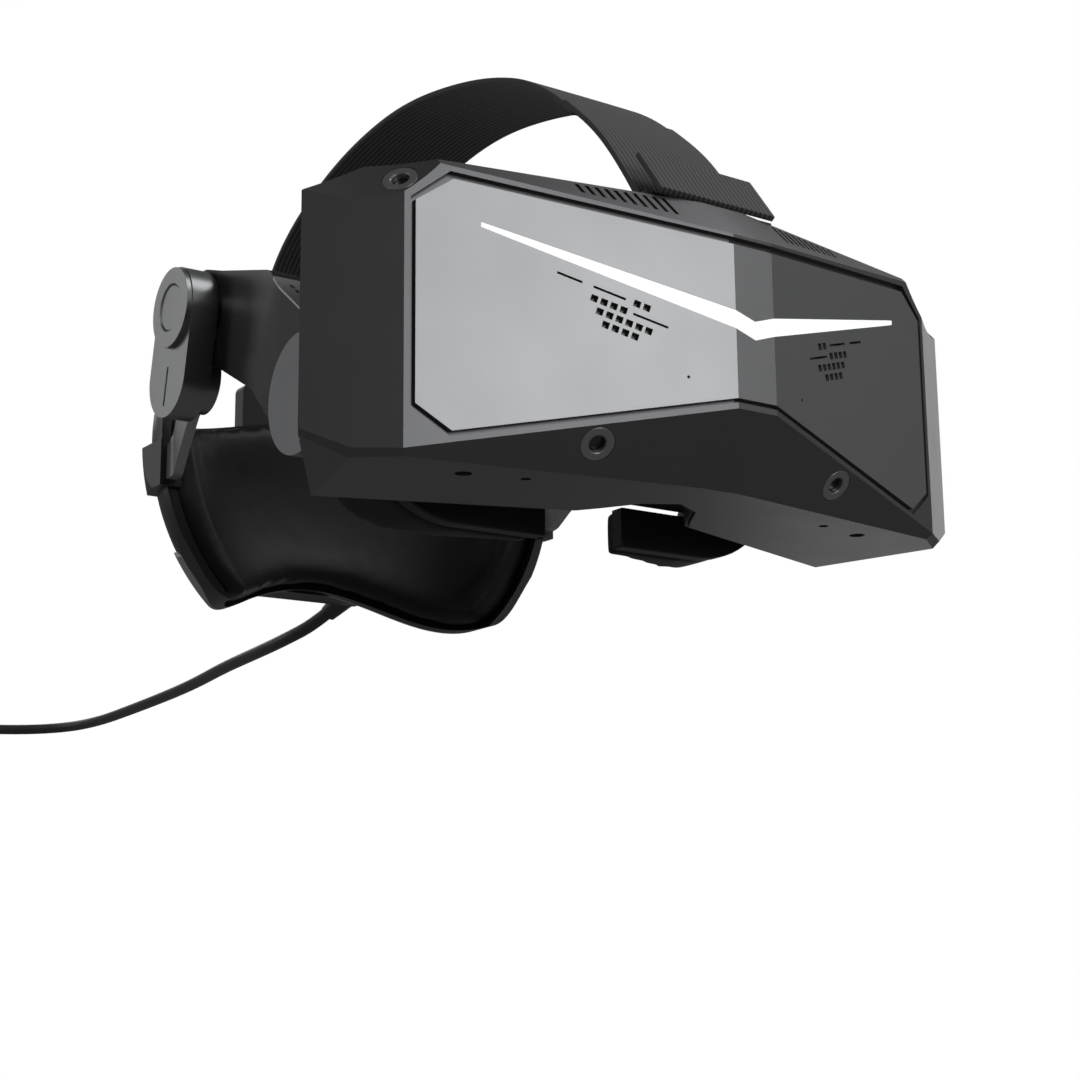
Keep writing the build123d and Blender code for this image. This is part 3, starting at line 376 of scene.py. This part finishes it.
smoothByAngle = makeSmoothByAngle()
softEdges = {   # node: width of the small edge round, mm
    "front_shell": 0.35, "hub_caps": 0.9, "pod_left": 0.9, "pod_right": 0.9,
    "pod_cap_left": 0.5, "pod_cap_right": 0.5, "tongue_left": 0.8, "tongue_right": 0.8,
    "arm_left": 2.0, "arm_right": 2.0,
    "cradle_shell": 0.8, "cradle_trim": 0.3, "dial_housing": 1.0, "adjust_dial": 0.5, "face_frame": 0.6,
    "cable_plug": 0.6, "camera_bezels": 0.3, "strap_anchor_front": 0.4, "strap_anchor_rear": 0.5,
    "arm_trims": 0.2, "cable_tie": 0.3, "rear_cover": 0.4,
}


def finishNodes():
    for name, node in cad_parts.items():
        finish = finishOf.get(name, "innerPlastic")
        for place in node.material_slots:
            place.material = finishes[finish]
        if not node.material_slots:
            node.data.materials.append(finishes[finish])
        smooth = node.modifiers.new("smooth", "NODES")
        smooth.node_group = smoothByAngle
        if name in softEdges:
            bevel = node.modifiers.new("softEdges", "BEVEL")
            bevel.width = softEdges[name] / 1000
            bevel.segments = edgeRule["segments"]
            bevel.limit_method = "ANGLE"
            bevel.angle_limit = radians(edgeRule["roundFrom"])
            even = node.modifiers.new("flatFaces", "WEIGHTED_NORMAL")
            even.keep_sharp = True
            even.weight = 100


finishNodes()
print("CAD nodes finished")


# the cable: one run from the cradle to its coil, and into the plug on top
cableFacts = {
    "radius": 3.0, "length": 5.0,
    "route": [
        (32.1, 327.2, -33.5), (25, 344, -45), (17.5, 366, -51.6), (19.5, 398, -53), (26, 445, -53),
        (37, 502, -53), (44, 552, -53), (51, 620, -53), (56, 680, -53), (50, 722, -53), (24, 749, -53),
        (-30, 757, -53), (-72, 756.5, -53),
    ],
    "coilCentre": (-112, 710), "innerTurn": 27.9, "turnGap": 6.1, "columns": 4, "rows": 5, "perTurn": 14,
    "rowGap": 6.15, "level": -53.0, "stopShort": 5, "riseOver": 4, "turnIn": 0.9,
    "unevenness": 0.004, "unevenStep": 2.399,
    "plugEntry": (-149, 734.6, -18.45),
    "lastBend": [(9, 17, -3.2), (1.2, 9, -0.4), (0, 0, 0)],   # from the coil's top into the plug
}


def coilPoints(facts):
    # each row of turns winds in or out, then steps up to the next
    points = []
    x, y = facts["coilCentre"]
    outer = facts["innerTurn"] + facts["turnGap"] * (facts["columns"] - 1)
    total = facts["rows"] * facts["columns"] * facts["perTurn"]
    steps = facts["columns"] * facts["perTurn"]
    for number in range(total - facts["stopShort"]):
        row, along = divmod(number, steps)
        share = min(along / (steps - facts["perTurn"] * facts["turnIn"]), 1.0)
        radius = outer - (outer - facts["innerTurn"]) * (share if row % 2 == 0 else 1 - share)
        rise = 0.0
        if row < facts["rows"] - 1:
            rise = max(0.0, (along - (steps - facts["riseOver"])) / facts["riseOver"])
        angle = pi / 2 + 2 * pi * number / facts["perTurn"]
        swell = 1 + facts["unevenness"] * sin(number * facts["unevenStep"])
        points.append((x + radius * swell * cos(angle), y + radius * swell * sin(angle),
                       facts["level"] + facts["rowGap"] * (row + rise)))
    return points


def makeCable():
    facts = cableFacts
    turns = coilPoints(facts)
    points = facts["route"] + turns
    entryX, entryY, entryZ = facts["plugEntry"]
    points += [(entryX + x, entryY + y, entryZ + z) for x, y, z in facts["lastBend"]]
    curve = bpy.data.curves.new("cableLine", "CURVE")
    curve.dimensions = "3D"
    spline = curve.splines.new("NURBS")
    spline.points.add(len(points) - 1)
    for slot, point in zip(spline.points, points):
        slot.co = (*at(*point), 1)
    spline.order_u = 3
    spline.use_endpoint_u = True
    spline.resolution_u = 6
    curve.bevel_depth = facts["radius"] / 1000
    curve.bevel_resolution = 4
    curve.use_fill_caps = True
    cable = bpy.data.objects.new("cableLine", curve)
    bpy.context.collection.objects.link(cable)
    curve.materials.append(finishes["cableSheath"])
    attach(cable, "cradle")
    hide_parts("cable", "cable_coil")
    return cable


cableLine = makeCable()
print("cable laid")


weave = {"across": [-1, -0.985, -0.5, 0, 0.5, 0.985, 1], "edgeDip": 0.0001, "edge": 0.0005}   # m


def webbing(name, line, width, thickness, segments):
    # a band of even thickness along a smooth line in the middle plane
    curve = bpy.data.curves.new(name + "Guide", "CURVE")
    curve.dimensions = "3D"
    spline = curve.splines.new("NURBS")
    spline.points.add(len(line) - 1)
    for slot, (y, z) in zip(spline.points, line):
        slot.co = (*at(0, y, z), 1)
    spline.order_u = 4
    spline.use_endpoint_u = True
    spline.resolution_u = max(4, segments // len(line))
    guide = bpy.data.objects.new(name + "Guide", curve)
    bpy.context.collection.objects.link(guide)
    bpy.context.view_layer.update()
    trace = [vertex.co.copy() for vertex in bpy.data.meshes.new_from_object(guide).vertices]
    bpy.data.objects.remove(guide)
    mesh = bpy.data.meshes.new(name)
    form = bmesh.new()
    across = weave["across"]
    run = 0.0
    rows, runs = [], []
    for number, point in enumerate(trace):
        if number:
            run += (point - trace[number - 1]).length
        runs.append(run)
        ahead = trace[min(number + 1, len(trace) - 1)] - trace[max(number - 1, 0)]
        normal = Vector((0, -ahead.z, ahead.y)).normalized()
        row = []
        for share in across:
            sideways = Vector((share * width / 2000, 0, 0))
            row.append(form.verts.new(point + sideways - normal * weave["edgeDip"] * abs(share) ** 4))
        rows.append(row)
    layer = form.loops.layers.uv.new("UVMap")
    for number in range(len(rows) - 1):
        for column in range(len(across) - 1):
            near, far = rows[number], rows[number + 1]
            face = form.faces.new([near[column], near[column + 1], far[column + 1], far[column]])
            shares = [across[column], across[column + 1], across[column + 1], across[column]]
            runsHere = [runs[number], runs[number], runs[number + 1], runs[number + 1]]
            for loop, share, here in zip(face.loops, shares, runsHere):
                loop[layer].uv = (here, share * width / 2000)
            face.smooth = True
    form.normal_update()
    form.to_mesh(mesh)
    band = bpy.data.objects.new(name, mesh)
    bpy.context.collection.objects.link(band)
    solid = band.modifiers.new("thickness", "SOLIDIFY")
    solid.thickness = thickness / 1000
    solid.offset = 0
    edge = band.modifiers.new("rolledEdge", "BEVEL")
    edge.width = weave["edge"]
    edge.segments = 2
    edge.limit_method = "ANGLE"
    applyAll(band)
    mesh.materials.append(finishes["ribbedBand"])
    return band, run


strapFacts = {   # lines are depth and height in the middle plane, mm
    "width": 50, "thickness": 2.2,
    "bands": {
        "topBand": {
            "body": "cradle", "replaces": "top_strap", "restsOn": "strap_anchor_rear", "segments": 150,
            "line": [(66, 94), (76, 103.5), (92, 115.5), (110, 124), (134, 132.5), (173, 140.8), (203, 141.8),
                     (233, 137.8), (257, 131), (285, 119), (306, 101), (318, 76), (320.5, 42)],
        },
        "frontBand": {
            "body": "visor", "replaces": "strap_front", "restsOn": "strap_anchor_front", "segments": 60,
            "line": [(29, 48.5), (34, 57), (48, 78.5), (60, 90), (72, 100.5)],
        },
        "tailBand": {   # the free end, folded back towards the front
            "body": "visor", "replaces": None, "restsOn": "strap_anchor_front", "segments": 24,
            "line": [(16.8, 47.6), (20, 52), (24.5, 58.2), (29.5, 65)],
        },
    },
}


def makeStraps():
    width, thickness = strapFacts["width"], strapFacts["thickness"]
    for name, facts in strapFacts["bands"].items():
        band, run = webbing(name, facts["line"], width, thickness, facts["segments"])
        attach(band, facts["body"])
        if facts["replaces"]:
            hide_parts(facts["replaces"])
        print(name, "is", round(run * 1000), "mm long")


makeStraps()


def softCopy(node, name, voxel, shrink, rounds):
    # a cushion grown from the CAD solid: remeshed, eased in, then smoothed
    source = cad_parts[node]
    mesh = source.data.copy()
    mesh.name = name
    piece = bpy.data.objects.new(name, mesh)
    piece.matrix_world = source.matrix_world
    bpy.context.collection.objects.link(piece)
    settle(piece)
    form = bmesh.new()
    form.from_mesh(mesh)
    bmesh.ops.remove_doubles(form, verts=form.verts, dist=edgeRule["joinWithin"])
    form.to_mesh(mesh)
    form.free()
    remesh = piece.modifiers.new("remesh", "REMESH")
    remesh.mode = "VOXEL"
    remesh.voxel_size = voxel
    remesh.use_smooth_shade = True
    ease = piece.modifiers.new("ease", "DISPLACE")
    ease.strength = shrink
    ease.mid_level = 0.0
    smooth = piece.modifiers.new("round", "SMOOTH")
    smooth.factor = 0.5
    smooth.iterations = rounds
    applyAll(piece)
    return piece


def puff(piece, pressure, frames, cap):
    # cloth under pressure swells the piece, and no point moves further than the cap
    before = [vertex.co.copy() for vertex in piece.data.vertices]
    pick(piece)
    cloth = piece.modifiers.new("cloth", "CLOTH")
    cloth.settings.use_pressure = True
    cloth.settings.uniform_pressure_force = pressure
    cloth.settings.effector_weights.gravity = 0
    cloth.settings.quality = 5
    for number in range(1, frames + 1):
        bpy.context.scene.frame_set(number)
    shape = piece.evaluated_get(bpy.context.evaluated_depsgraph_get()).data
    moved = [vertex.co.copy() for vertex in shape.vertices]
    piece.modifiers.remove(cloth)
    for vertex, old, new in zip(piece.data.vertices, before, moved):
        step = new - old
        if step.length > cap:
            step *= cap / step.length
        vertex.co = old + step
    bpy.context.scene.frame_set(1)


cushions = {
    "faceCushion": {"node": "face_foam", "body": "face_interface", "slot": "foam", "finish": "knitBlack",
                    "voxel": 0.0032, "shrink": -0.0006, "rounds": 6,
                    "pressure": 3.0, "frames": 12, "cap": 0.0012, "fill": 0.7},
    "rearCushion": {"node": "cradle_pad", "body": "cradle", "slot": "pad_leather", "finish": "padBlack",
                    "voxel": 0.0030, "shrink": 0.0016, "rounds": 26,
                    "pressure": 3.0, "frames": 12, "cap": 0.0012, "fill": 0.7},
}


def makeCushions():
    for name, facts in cushions.items():
        piece = softCopy(facts["node"], name, facts["voxel"], facts["shrink"], facts["rounds"])
        puff(piece, facts["pressure"], facts["frames"], facts["cap"])
        finer = piece.modifiers.new("finer", "SUBSURF")
        finer.levels = finer.render_levels = 1
        applyAll(piece)
        pick(piece)
        bpy.ops.object.shade_smooth()
        piece.data.materials.clear()
        piece.data.materials.append(finishes[facts["finish"]])
        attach(piece, facts["body"])
        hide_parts(facts["node"])


makeCushions()
print("cushions filled")


# painted shade: a thin near-black strip on the lower half of each pod's face plate stands in for the shade
# inside a slot
podSlotShade = {"faceX": 117.0, "bossY": 199.0, "bossZ": 41.0, "lean": 12.0, "drop": 30.0,
           "width": 1.0, "depth": 0.3, "length": 15.0}


def makePodSlotShade(side, name):
    lean = radians(podSlotShade["lean"])
    middle = at(side * podSlotShade["faceX"], podSlotShade["bossY"] + podSlotShade["drop"] * sin(lean),
                podSlotShade["bossZ"] - podSlotShade["drop"] * cos(lean))
    deselectAll()
    bpy.ops.mesh.primitive_cube_add(size=1, location=middle, rotation=(lean, 0, 0))
    slotShade = bpy.context.object
    slotShade.name = name
    slotShade.scale = (podSlotShade["depth"] / 1000, podSlotShade["width"] / 1000, podSlotShade["length"] / 1000)
    settle(slotShade)
    ends = slotShade.modifiers.new("roundEnds", "BEVEL")
    ends.width = 0.00014
    ends.segments = 2
    applyAll(slotShade)
    # the near-black plastic is the painted shade of the slot
    slotShade.data.materials.append(finishes["innerPlastic"])
    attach(slotShade, "pod_l" if side > 0 else "pod_r")


# lays the painted slot shade onto both pods
makePodSlotShade(-1, "podSlotShadeRight")
makePodSlotShade(1, "podSlotShadeLeft")
print("pod marks placed")
